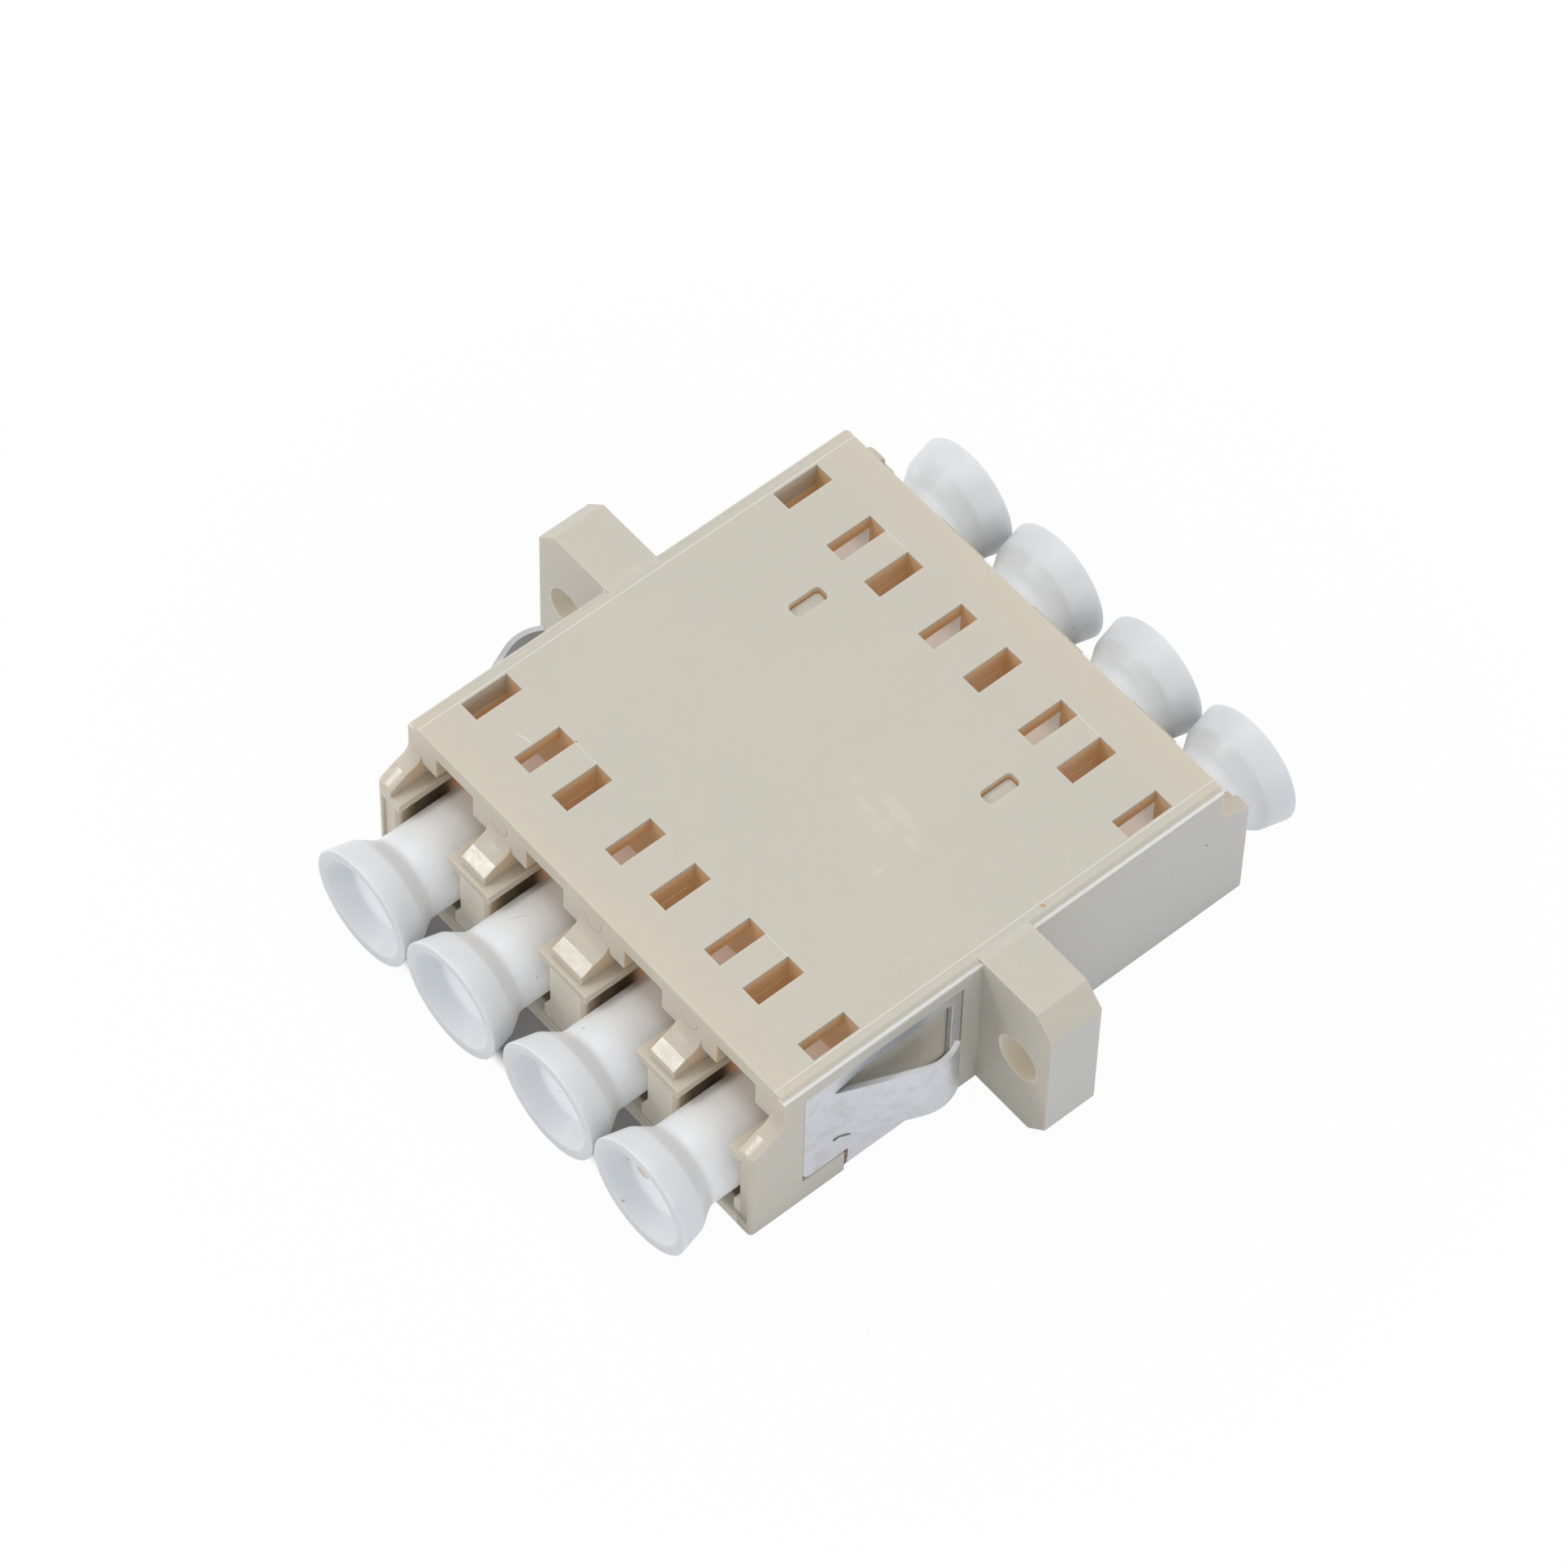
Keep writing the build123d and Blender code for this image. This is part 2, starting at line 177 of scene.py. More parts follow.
class Bench:
    """Builds the node tree of one material or of the world."""

    def __init__(self, owner: Union[bpy.types.Material, bpy.types.World]) -> None:
        """Empties the owner's tree.

        Args:
            owner: The material or world whose nodes are built.
        """
        owner.use_nodes = True
        self.tree = owner.node_tree
        self.tree.nodes.clear()

    def node(
        self,
        kind: str,
        settings: Optional[dict[str, Any]] = None,
        inputs: Optional[dict[Union[str, int], Any]] = None,
        output: Union[str, int] = 0,
    ) -> Wire:
        """Adds one node.

        Args:
            kind: The node's type.
            settings: Its settings, which are set first.
            inputs: Values or wires for its sockets, by name or number.
            output: Which output to hand back.

        Returns:
            The chosen output.
        """
        made = self.tree.nodes.new(kind)
        for key, value in (settings or {}).items():
            setattr(made, key, value)
        for key, value in (inputs or {}).items():
            self._feed(made.inputs[key], value)
        return Wire(self, made.outputs[output])

    def _feed(self, socket: bpy.types.NodeSocket, value: Any) -> None:
        """Links a wire to a socket, or sets the socket's own value.

        Args:
            socket: The socket.
            value: A wire, or the value to set.
        """
        if isinstance(value, Wire):
            self.tree.links.new(value.socket, socket)
        else:
            socket.default_value = value

    def maths(self, operation: str, *values: Value) -> Wire:
        """One Math node on one, two or three values."""
        return self.node("ShaderNodeMath", {"operation": operation}, dict(enumerate(values)))

    def mix(self, share: Value, first: Any, second: Any) -> Wire:
        """A colour between two, by a share of the second."""
        inputs = {0: share, 6: first, 7: second}
        return self.node("ShaderNodeMix", {"data_type": "RGBA"}, inputs, 2)

    def place(self) -> Wire:
        """The point on the object, in millimetres."""
        point = self.node("ShaderNodeTexCoord", output="Object")
        return self.node("ShaderNodeVectorMath", {"operation": "SCALE"}, {0: point, "Scale": 1 / MM})

    def where(self) -> Where:
        """Finds the point being shaded and the way its surface faces.

        Returns:
            The point.
        """
        point = self.place()
        x, y, z = self.split(point)
        facing = self.split(self.node("ShaderNodeTexCoord", output="Normal"))
        return Where(point, x, y, z, abs(x), abs(y), *facing)

    def softened(self) -> Wire:
        """One on the faces that soften an edge and zero elsewhere."""
        return self.node("ShaderNodeAttribute", {"attribute_name": EDGE_LAYER}, output="Fac")

    def split(self, vector: Wire) -> tuple[Wire, Wire, Wire]:
        """Takes a vector apart.

        Args:
            vector: The vector.

        Returns:
            Its three numbers.
        """
        made = self.tree.nodes.new("ShaderNodeSeparateXYZ")
        self.tree.links.new(vector.socket, made.inputs[0])
        return tuple(Wire(self, made.outputs[axis]) for axis in range(3))

    def stretch(
        self, vector: Wire, scale: Sequence[float], turn: Sequence[float] = (0, 0, 0)
    ) -> Wire:
        """A pattern's coordinates, turned and scaled about the origin."""
        return self.node("ShaderNodeMapping", {}, {"Vector": vector, "Rotation": turn, "Scale": scale})

    def noise(self, vector: Wire, scale: float, detail: float = 3.0, rough: float = 0.5) -> Wire:
        """Cloudy noise between 0 and 1, with features of about one over the scale."""
        inputs = {"Vector": vector, "Scale": scale, "Detail": detail, "Roughness": rough}
        return self.node("ShaderNodeTexNoise", {}, inputs, 0)

    def ease(
        self, value: Wire, low: float, high: float, start: float = 0.0, stop: float = 1.0
    ) -> Wire:
        """Rises smoothly from start to stop while the value goes from low to high.

        Args:
            value: The value.
            low: Where the rise begins.
            high: Where it ends.
            start: What it gives up to low.
            stop: What it gives from high on.

        Returns:
            The eased value.
        """
        settings = {"interpolation_type": "SMOOTHSTEP"}
        inputs = {"Value": value, "From Min": low, "From Max": high, "To Min": start, "To Max": stop}
        return self.node("ShaderNodeMapRange", settings, inputs)

    def within(self, value: Wire, low: float, high: float, soft: float = 0.05) -> Wire:
        """One while the value lies between two limits, with soft ends."""
        return self.ease(value, low - soft, low) * self.ease(value, high, high + soft, 1.0, 0.0)

    def band(self, value: Wire, middle: float, half: float) -> Wire:
        """One on a thin line at a value, with soft sides."""
        return self.within(value, middle - half, middle + half, 0.02)

    def reach(self, side: Wire, up: Wire, centre: tuple[float, float]) -> Wire:
        """The distance from a point on a flat place."""
        beside, above = side - centre[0], up - centre[1]
        return (beside * beside + above * above) ** 0.5

    def specks(self, vector: Wire, cells: float, radius: float, share: float) -> Wire:
        """Small round spots, one in some of the cells of an uneven grid.

        Args:
            vector: The place, in millimetres.
            cells: Cells in a millimetre.
            radius: The spots' radius, in cells.
            share: The share of the cells that holds a spot.

        Returns:
            One on a spot and zero elsewhere.
        """
        distance = self.node("ShaderNodeTexVoronoi", {}, {"Vector": vector, "Scale": cells}, "Distance")
        colour = self.node("ShaderNodeTexVoronoi", {}, {"Vector": vector, "Scale": cells}, "Color")
        pick, size, _ = self.split(colour)
        return self.ease(distance / (size * 0.8 + 0.4), radius * 0.7, radius, 1.0, 0.0) * (pick < share)

    def oval(self, side: Wire, up: Wire, mark: Mark) -> Wire:
        """The strength of a soft-edged oval mark.

        Args:
            side: The place across the mark's plane.
            up: The place up it.
            mark: The mark.

        Returns:
            The mark's own strength inside it and zero elsewhere.
        """
        cos, sin = math.cos(math.radians(mark.turn)), math.sin(math.radians(mark.turn))
        beside, above = side - mark.centre[0], up - mark.centre[1]
        long = (beside * cos + above * sin) / mark.half[0]
        wide = (above * cos - beside * sin) / mark.half[1]
        return self.ease(long * long + wide * wide, 0.8, 1.2, mark.share, 0.0)

    def ovals(self, side: Wire, up: Wire, marks: Iterable[Mark]) -> Value:
        """The strength of several marks that stand apart from each other.

        Args:
            side: The place across the marks' plane.
            up: The place up it.
            marks: The marks.

        Returns:
            Each mark's own strength inside it and zero elsewhere.
        """
        total: Value = 0.0
        for mark in marks:
            total = self.oval(side, up, mark) + total
        return total

    def bump(self, height: Wire, strength: float = 1.0) -> Wire:
        """Surface relief from a height in millimetres."""
        return self.node("ShaderNodeBump", {}, {"Strength": strength, "Distance": MM, "Height": height})

    def surface(self, inputs: dict[str, Any]) -> None:
        """Ends the tree with a principled shader.

        Args:
            inputs: Values or wires for its sockets.
        """
        shader = self.node("ShaderNodeBsdfPrincipled", {}, inputs)
        self.output(shader)

    def output(self, shader: Wire, kind: str = "ShaderNodeOutputMaterial") -> None:
        """Links a shader to the tree's output."""
        made = self.tree.nodes.new(kind)
        self.tree.links.new(shader.socket, made.inputs["Surface"])


def new_material(name: str) -> bpy.types.Material:
    """Makes a material whose glow is seen but isn't sampled as a lamp, which keeps the render short.

    Args:
        name: The material's name.

    Returns:
        The material.
    """
    material = bpy.data.materials.new(name)
    material.cycles.emission_sampling = "NONE"
    return material


@dataclass(frozen=True)
class BeigeMoulding:
    """Satin beige moulded plastic with witness lines on the top, painted warm shade in its hollows,
    painted dark shade in its deepest recesses, painted cool light on its sides, painted highlights on
    its edges and a painted glow in its shaded places.
    """

    name: str = "beige_moulding"
    colour: Colour = (0.625, 0.582, 0.492, 1.0)
    warm: Colour = (0.665, 0.600, 0.490, 1.0)
    grey: Colour = (0.600, 0.570, 0.495, 1.0)
    # Painted warm shade: the orange that the ports' inner walls take from light soaking through the
    # plastic.
    painted_port_shade: Colour = (0.700, 0.460, 0.240, 1.0)
    # Painted warm shade on the flanks of the lead-in ramps, stronger towards the catch blocks.
    side: Colour = (0.780, 0.600, 0.400, 1.0)
    # Painted dark shade under the shelves and on the ports' floor at their mouths.
    deep: Colour = (0.150, 0.100, 0.045, 1.0)
    # Painted cool light on the housing's flat sides.
    cool: Colour = (0.600, 0.590, 0.580, 1.0)
    # The light colour of the witness lines, scratches and scuffs, also used for the painted highlight on
    # the softened edges.
    line: Colour = (0.900, 0.875, 0.820, 1.0)
    # Painted highlight along the rounded top edge.
    painted_highlight: Colour = (1.0, 0.985, 0.950, 1.0)
    tan: Colour = (0.520, 0.330, 0.160, 1.0)
    dirt: Colour = (0.240, 0.200, 0.160, 1.0)
    # Painted glow colours: emission that stands in for light soaking through to the shaded places.
    hollow_glow: Colour = (0.31, 0.205, 0.11, 1.0)
    front_glow: Colour = (1.0, 0.96, 0.86, 1.0)
    hole_glow: Colour = (1.0, 0.86, 0.62, 1.0)
    side_x: float = BODY_HALF_X - 0.05
    body_x: float = BODY_HALF_X + 0.01
    round_x: float = BODY_HALF_X - 0.43
    seam_x: float = BODY_HALF_X - 0.75
    inside_x: float = BODY_HALF_X - 0.90
    divider_x: float = (INNER_PORT_X + OUTER_PORT_X) / 2
    divider_half: float = 0.78
    divider_ys: tuple[float, float] = (-7.69, 10.27)
    line_half: float = 0.018
    thin_line_half: float = 0.012
    floor_low: float = 0.5
    floor_top: float = 0.78
    ceiling: float = 5.24
    shelf_top: float = 5.72
    mouth_y: float = 12.45
    block_y: float = 12.75
    nose_y: float = 13.45
    nose_low: float = 6.05
    nose_high: float = 6.72
    rubbed_x: float = 3.0
    pin_z: float = 8.15
    pin_r: float = 0.50
    screw: tuple[float, float] = (15.398, HEIGHT / 2)
    screw_r: float = 1.22
    smudge: Mark = Mark((4.3, 0.3), (2.4, 0.9), -5.0, 0.10)
    scuff: Mark = Mark((-8.8, -9.28), (0.45, 0.022), 10.0, 0.7)
    stain: Mark = Mark((12.28, 2.47), (0.15, 0.09), 40.0, 0.75)
    grit: Mark = Mark((-7.2, -7.64), (0.05, 0.05), 0.0, 0.9)
    flecks: tuple[Mark, ...] = (
        Mark((11.8, 5.6), (0.13, 0.05), -40.0, 0.9),
        Mark((7.87, 8.1), (0.04, 0.07), 0.0, 0.54),
    )

    def build(self) -> bpy.types.Material:
        """Makes the material.

        Returns:
            The material.
        """
        material = new_material(self.name)
        bench = Bench(material)
        at = bench.where()
        on_top = at.z > HEIGHT - 0.06
        painted_port_shade = self._painted_port_shade(bench, at)
        witness = self._witness_lines(bench, at) * on_top
        scratch = self._scratches(bench, at) * on_top
        edge = bench.softened()
        nose = self._nose(bench, at)

        colour = self._shaded(bench, at, self._ground_colour(bench, at), painted_port_shade)
        colour = bench.mix(witness * 0.75, colour, self.line)
        colour = bench.mix(scratch * 0.30, colour, self.line)
        colour = self._marks_and_painted_highlight(bench, at, colour, on_top)
        # Painted highlight: the faces that soften the edges are lightened towards the line colour.
        colour = bench.mix(edge * 0.75, colour, self.line)
        relief = self._relief(bench, at, nose) + witness * 0.012 - scratch * 0.003
        bench.surface({
            "Base Color": colour,
            "Roughness": self._roughness(bench, at) - nose * 0.22 - edge * 0.10,
            "IOR": 1.5,
            "Subsurface Weight": 0.35,
            "Subsurface Radius": (1.0, 0.62, 0.32),
            "Subsurface Scale": 0.5 * MM,
            # Painted glow: an emission on the shaded places, standing in for light soaking through the
            # plastic.
            "Emission Color": self._glow(bench, at, painted_port_shade),
            "Emission Strength": 0.16,
            "Normal": bench.bump(relief),
        })
        return material

    def _ground_colour(self, bench: Bench, at: Where) -> Wire:
        """The plastic's own colour: a little greyer in the middle and warmer near the ends.

        Args:
            bench: The material's bench.
            at: The point being shaded.

        Returns:
            The colour.
        """
        cloud = bench.noise(at.point, 0.10, 3.0, 0.5)
        small_cloud = bench.noise(at.point, 0.7, 3.0, 0.6)
        mottle = bench.noise(at.point, 6.0, 2.0, 0.5)
        colour = bench.mix(bench.ease(cloud, 0.36, 0.66), self.grey, self.colour)
        colour = bench.mix(bench.ease(small_cloud, 0.45, 0.75) * 0.16, colour, self.warm)
        colour = bench.mix(bench.ease(at.along, 9.6, 12.4) * 0.6, colour, self.warm)
        return bench.mix(bench.ease(mottle, 0.35, 0.75) * 0.12, colour, self.grey)

    def _shaded(self, bench: Bench, at: Where, colour: Wire, painted_port_shade: Wire) -> Wire:
        """Paints light and shade into the colour: painted warm shade on the ports' walls and the ramps'
        flanks, painted dark shade where they go deepest, and painted cool light on the housing's sides.

        Args:
            bench: The material's bench.
            at: The point being shaded.
            colour: The colour so far.
            painted_port_shade: Where the ports' inner walls are.

        Returns:
            The colour.
        """
        # Painted warm shade on the ports' walls.
        colour = bench.mix(painted_port_shade * 0.9, colour, self.painted_port_shade)
        # Painted warm shade on the ramps' flanks.
        colour = bench.mix(self._painted_flank_shade(bench, at), colour, self.side)
        # Painted dark shade where the ports go deepest and on their floor at the mouth.
        colour = bench.mix(self._painted_deep_shade(bench, at), colour, self.deep)
        # Painted cool light: the housing's flat sides are turned towards a cool grey, most towards the
        # bottom.
        painted_cool_side = (at.across > self.side_x) * bench.ease(abs(at.facing_x), 0.75, 0.95)
        share = (at.y > -1.5) * bench.ease(at.z, 6.6, 8.7, 0.85, 0.35) + (at.y < -1.5) * 0.25
        return bench.mix(painted_cool_side * share, colour, self.cool)

    def _painted_port_shade(self, bench: Bench, at: Where) -> Wire:
        """Where the ports' inner walls take a painted warm shade, the orange that light soaking through
        the plastic gives them.

        Args:
            bench: The material's bench.
            at: The point being shaded.

        Returns:
            One inside and zero elsewhere.
        """
        deep = bench.ease(at.along, 10.9, 11.7, 1.0, 0.0)
        under_top = bench.ease(at.z, HEIGHT - 0.35, HEIGHT - 0.06, 1.0, 0.0)
        below = (at.z < 5.76) * bench.ease(at.along, 10.6, 11.4)
        upward = bench.ease(at.facing_z, 0.5, 0.8) * (at.z > 8.0)
        inside = (at.across < self.inside_x) * deep * under_top * bench.ease(at.z, 0.5, 1.2)
        return inside * (1.0 - below) * (1.0 - upward)

    def _painted_flank_shade(self, bench: Bench, at: Where) -> Wire:
        """Where the flanks of the lead-in ramps take a painted warm shade, stronger towards the catch
        blocks.

        Args:
            bench: The material's bench.
            at: The point being shaded.

        Returns:
            The share of the painted warm shade.
        """
        flank = self._wall_share(bench, at) * (at.along > self.mouth_y)
        high = (at.z > self.shelf_top) * bench.ease(at.along, 12.7, 14.1, 0.85, 0.15)
        low = (at.z < 5.3) * bench.ease(at.z, 0.8, 2.2) * bench.ease(at.along, 13.2, 14.3, 0.9, 0.2)
        return flank * (high + low)

    def _painted_deep_shade(self, bench: Bench, at: Where) -> Wire:
        """Where the painted dark shade goes: a port's wall where it goes in under its shelf, and the
        port's floor at its mouth.

        Args:
            bench: The material's bench.
            at: The point being shaded.

        Returns:
            The share of the painted dark shade.
        """
        inward = bench.ease(at.along, 12.9, 14.0, 0.92, 0.0) * bench.ease(at.along, 10.6, 11.4)
        wall = self._wall_share(bench, at) * (at.z < self.ceiling) * inward
        floor = (at.across < self.inside_x) * (at.z < self.floor_top) * (at.z > self.floor_low)
        floor = floor * bench.ease(at.along, 14.1, 14.4, 0.8, 0.35)
        return bench.maths("MAXIMUM", wall, floor)

    def _wall_share(self, bench: Bench, at: Where) -> Wire:
        """One on the upright walls between the ports and zero elsewhere."""
        return (at.across < self.inside_x) * bench.ease(abs(at.facing_x), 0.55, 0.8)

    def _nose(self, bench: Bench, at: Where) -> Wire:
        """Where the ramps' rubbed noses are.

        Args:
            bench: The material's bench.
            at: The point being shaded.

        Returns:
            One on a nose and zero elsewhere.
        """
        nose = bench.within(at.along, self.nose_y, 14.5, 0.08)
        nose = nose * bench.within(at.z, self.nose_low, self.nose_high, 0.06)
        return nose * (at.across < 12.7) * bench.ease(at.facing_z, 0.3, 0.6)

    def _glow(self, bench: Bench, at: Where, painted_port_shade: Wire) -> Wire:
        """The painted glow: an emission that stands in for the light that soaks through to the shaded
        places.

        Args:
            bench: The material's bench.
            at: The point being shaded.
            painted_port_shade: Where the ports' inner walls are.

        Returns:
            The colour of the glow.
        """
        front = bench.ease(at.along, 13.7, 13.95) * bench.ease(at.z, 5.1, 5.5, 1.0, 0.0)
        front = front * (at.across < self.inside_x)
        reach = bench.reach(at.across, at.z, self.screw)
        hole = bench.ease(reach, self.screw_r, self.screw_r + 0.08, 1.0, 0.0) * (at.across > 13.3)
        pocket = bench.within(at.across, 12.1, 12.7, 0.02) * bench.ease(abs(at.facing_x), 0.7, 0.9)
        pocket = pocket * bench.ease(at.z, 6.2, 6.9, 1.0, 0.0)
        glow = bench.mix(painted_port_shade, BLACK, self.hollow_glow)
        glow = bench.mix(front * 0.75, glow, self.front_glow)
        glow = bench.mix(hole * 0.7, glow, self.hole_glow)
        return bench.mix(pocket * 0.14, glow, self.hole_glow)

    def _roughness(self, bench: Bench, at: Where) -> Wire:
        """The satin of the moulding, smoother along its rounded top edges."""
        rounded = bench.within(at.across, self.round_x, self.body_x, 0.01) * bench.ease(at.z, 8.72, 8.80)
        return bench.ease(bench.noise(at.point, 2.2, 3.0), 0.3, 0.7, 0.36, 0.47) - rounded * 0.17

    def _relief(self, bench: Bench, at: Where, nose: Wire) -> Wire:
        """The moulding's grain, the rubbed or pitted noses and the round pin marks.

        Args:
            bench: The material's bench.
            at: The point being shaded.
            nose: Where the ramps' noses are.

        Returns:
            The height, in millimetres.
        """
        strands = bench.stretch(at.point, (9.0, 0.8, 0.8))
        rub = bench.noise(strands, 2.0, 3.0, 0.7) * (at.across < self.rubbed_x) * 0.006
        pitted = bench.noise(at.point, 11.0, 2.0, 0.6) * (at.across > self.rubbed_x) * 0.0055
        grain = bench.noise(at.point, 28.0, 2.0, 0.6) * 0.0016 + bench.noise(at.point, 5.0, 2.0) * 0.0025
        return grain + (rub + pitted) * nose + self._ejector_marks(bench, at) * 0.05

    def _witness_lines(self, bench: Bench, at: Where) -> Wire:
        """The raised lines that the mould's inserts leave on the top plate.

        Args:
            bench: The material's bench.
            at: The point being shaded.

        Returns:
            One on a line and zero elsewhere.
        """
        seam = bench.band(at.across, self.seam_x, self.line_half) * (at.along < 12.62)
        beside = bench.within(abs(at.across - self.divider_x), -1.0, self.divider_half, 0.05)
        near_line, far_line = (bench.band(at.y, y, self.thin_line_half) for y in self.divider_ys)
        broken = bench.ease(bench.noise(at.point, 1.4, 2.0), 0.34, 0.46)
        return bench.maths("MAXIMUM", seam, beside * (near_line + far_line) * broken)

    def _scratches(self, bench: Bench, at: Where) -> Wire:
        """A few faint hair scratches on the top plate.

        Args:
            bench: The material's bench.
            at: The point being shaded.

        Returns:
            One on a scratch and zero elsewhere.
        """
        total: Value = 0.0
        for turn, scale, limit in ((0.9, 0.55, 0.800), (2.3, 0.42, 0.795)):
            strand = bench.stretch(at.point, (scale * 14.0, scale, scale), (0.0, 0.0, turn))
            total = bench.ease(bench.noise(strand, 1.0, 1.0, 0.4), limit, limit + 0.03) + total
        return bench.maths("MINIMUM", total, 1.0)

    def _marks_and_painted_highlight(self, bench: Bench, at: Where, colour: Wire, on_top: Wire) -> Wire:
        """Adds dust, a painted highlight along the rounded top edge, and the marks that this one
        moulding carries.

        Args:
            bench: The material's bench.
            at: The point being shaded.
            colour: The colour so far.
            on_top: Where the surface is the top plate.

        Returns:
            The colour with its marks.
        """
        colour = bench.mix(bench.specks(at.point, 0.42, 0.035, 0.30) * 0.6, colour, self.dirt)
        # Painted highlight: a bright line along the rounded top edge.
        painted_highlight = bench.within(at.z, 8.90, 9.02, 0.03)
        painted_highlight = painted_highlight * bench.within(at.across, self.round_x, self.body_x, 0.01)
        colour = bench.mix(painted_highlight * 0.9, colour, self.painted_highlight)
        blur = bench.noise(bench.stretch(at.point, (1.0, 3.0, 1.0)), 0.8, 3.0)
        smudge = bench.oval(at.x, at.y, self.smudge) * bench.ease(blur, 0.42, 0.62)
        colour = bench.mix(smudge * on_top, colour, self.line)
        colour = bench.mix(bench.oval(at.x, at.y, self.scuff) * on_top, colour, self.line)
        colour = bench.mix(bench.oval(at.x, at.y, self.stain) * on_top, colour, self.tan)
        grit = bench.oval(at.x, at.y, self.grit) * on_top
        flecks = bench.ovals(at.y, at.z, self.flecks) * (at.x > self.side_x)
        return bench.mix(bench.maths("MAXIMUM", grit, flecks), colour, self.dirt)

    def _ejector_marks(self, bench: Bench, at: Where) -> Wire:
        """Round pin marks on the front faces of the middle catch blocks.

        Args:
            bench: The material's bench.
            at: The point being shaded.

        Returns:
            One inside a mark and zero elsewhere.
        """
        mark: Value = 0.0
        for centre in (-self.divider_x, 0.0, self.divider_x):
            reach = bench.reach(at.x, at.z, (centre, self.pin_z))
            mark = bench.ease(reach, self.pin_r, self.pin_r + 0.06, 1.0, 0.0) + mark
        return mark * bench.within(at.along, self.mouth_y, self.block_y, 0.02)


@dataclass(frozen=True)
class CapPlastic:
    """Soft white plastic with dirt specks and faint stains, a painted glow for the light it lets
    through, painted warm light near the housing and painted shade on its rim and cone.
    """

    name: str = "white_cap_plastic"
    colour: Colour = (0.765, 0.785, 0.805, 1.0)
    cool: Colour = (0.715, 0.740, 0.765, 1.0)
    # Painted warm light: the caps are warmed towards this colour near the housing.
    warm: Colour = (0.760, 0.745, 0.715, 1.0)
    dirt: Colour = (0.330, 0.300, 0.270, 1.0)
    tan: Colour = (0.500, 0.360, 0.240, 1.0)
    # Painted shade: the rim annulus that faces the front and the front caps' cone are darkened towards
    # these colours.
    rim: Colour = (0.520, 0.530, 0.540, 1.0)
    cone: Colour = (0.640, 0.640, 0.640, 1.0)
    # Painted glow colours: emission that stands in for light soaking through the caps.
    outer_glow: Colour = (0.960, 0.980, 1.0, 1.0)
    front_glow: Colour = (0.62, 0.50, 0.46, 1.0)
    rear_glow: Colour = (1.0, 0.92, 0.86, 1.0)
    rim_y: float = 17.45
    cup_y: float = 16.5
    grip_top: float = 4.5
    cup_scratch: Mark = Mark((8.56, 2.63), (0.40, 0.31), -2.0, 0.8)
    cup_spots: tuple[Mark, ...] = (
        Mark((8.37, 1.0), (0.05, 0.05), 0.0, 0.75),
        Mark((8.8, 0.2), (0.05, 0.04), 0.0, 0.75),
        Mark((2.91, 2.22), (0.2, 0.03), 20.0, 0.75),
    )
    grip_spots: tuple[Mark, ...] = (
        Mark((2.36, -15.1), (0.06, 0.05), 0.0, 0.75),
        Mark((-3.8, -13.7), (0.42, 0.03), 62.0, 0.375),
    )

    def build(self) -> bpy.types.Material:
        """Makes the material.

        Returns:
            The material.
        """
        material = new_material(self.name)
        bench = Bench(material)
        at = bench.where()
        off_axis = bench.maths("MINIMUM", abs(at.across - INNER_PORT_X), abs(at.across - OUTER_PORT_X))
        reach = bench.reach(off_axis, at.z, (0.0, PORT_AXIS_Z))
        flow = bench.noise(bench.stretch(at.point, (1.0, 0.35, 1.0)), 1.2, 2.0)
        height = bench.noise(at.point, 16.0, 2.0) * 0.0022 + flow * 0.02
        bench.surface({
            "Base Color": self._marked(bench, at, self._ground_colour(bench, at, reach)),
            "Roughness": bench.ease(bench.noise(at.point, 1.8, 3.0), 0.3, 0.7, 0.30, 0.42),
            "IOR": 1.5,
            "Subsurface Weight": 0.6,
            "Subsurface Radius": (1.0, 0.97, 0.93),
            "Subsurface Scale": 0.30 * MM,
            # Painted glow: an emission on the cup, the grip and the parts inside the ports.
            "Emission Color": self._glow(bench, at, reach),
            "Emission Strength": 0.30,
            "Normal": bench.bump(height),
        })
        return material

    def _ground_colour(self, bench: Bench, at: Where, reach: Wire) -> Wire:
        """The plastic's own colour with its dirt and stains, plus painted warm light near the housing
        and painted shade on the rim and the cone.

        Args:
            bench: The material's bench.
            at: The point being shaded.
            reach: The distance from the nearest cap's axis.

        Returns:
            The colour.
        """
        cloud = bench.noise(at.point, 0.5, 3.0, 0.55)
        colour = bench.mix(bench.ease(cloud, 0.42, 0.68) * 0.5, self.colour, self.cool)
        # Painted warm light near the housing.
        colour = bench.mix(bench.ease(at.along, 12.2, 15.6, 0.6, 0.0), colour, self.warm)
        colour = bench.mix(bench.specks(at.point, 1.3, 0.06, 0.22) * 0.75, colour, self.dirt)
        colour = bench.mix(bench.specks(at.point, 0.32, 0.055, 0.10) * 0.6, colour, self.tan)
        # Painted shade on the rim annulus where it faces the front, and on the front caps' cone.
        painted_rim_shade = (at.along > self.rim_y) * bench.ease(reach, 2.46, 2.56)
        colour = bench.mix(painted_rim_shade * bench.ease(abs(at.facing_y), 0.75, 0.95) * 0.35, colour, self.rim)
        cone = bench.within(at.along, 15.72, 16.5, 0.08) * (at.y < 0.0)
        return bench.mix(cone * 0.25, colour, self.cone)

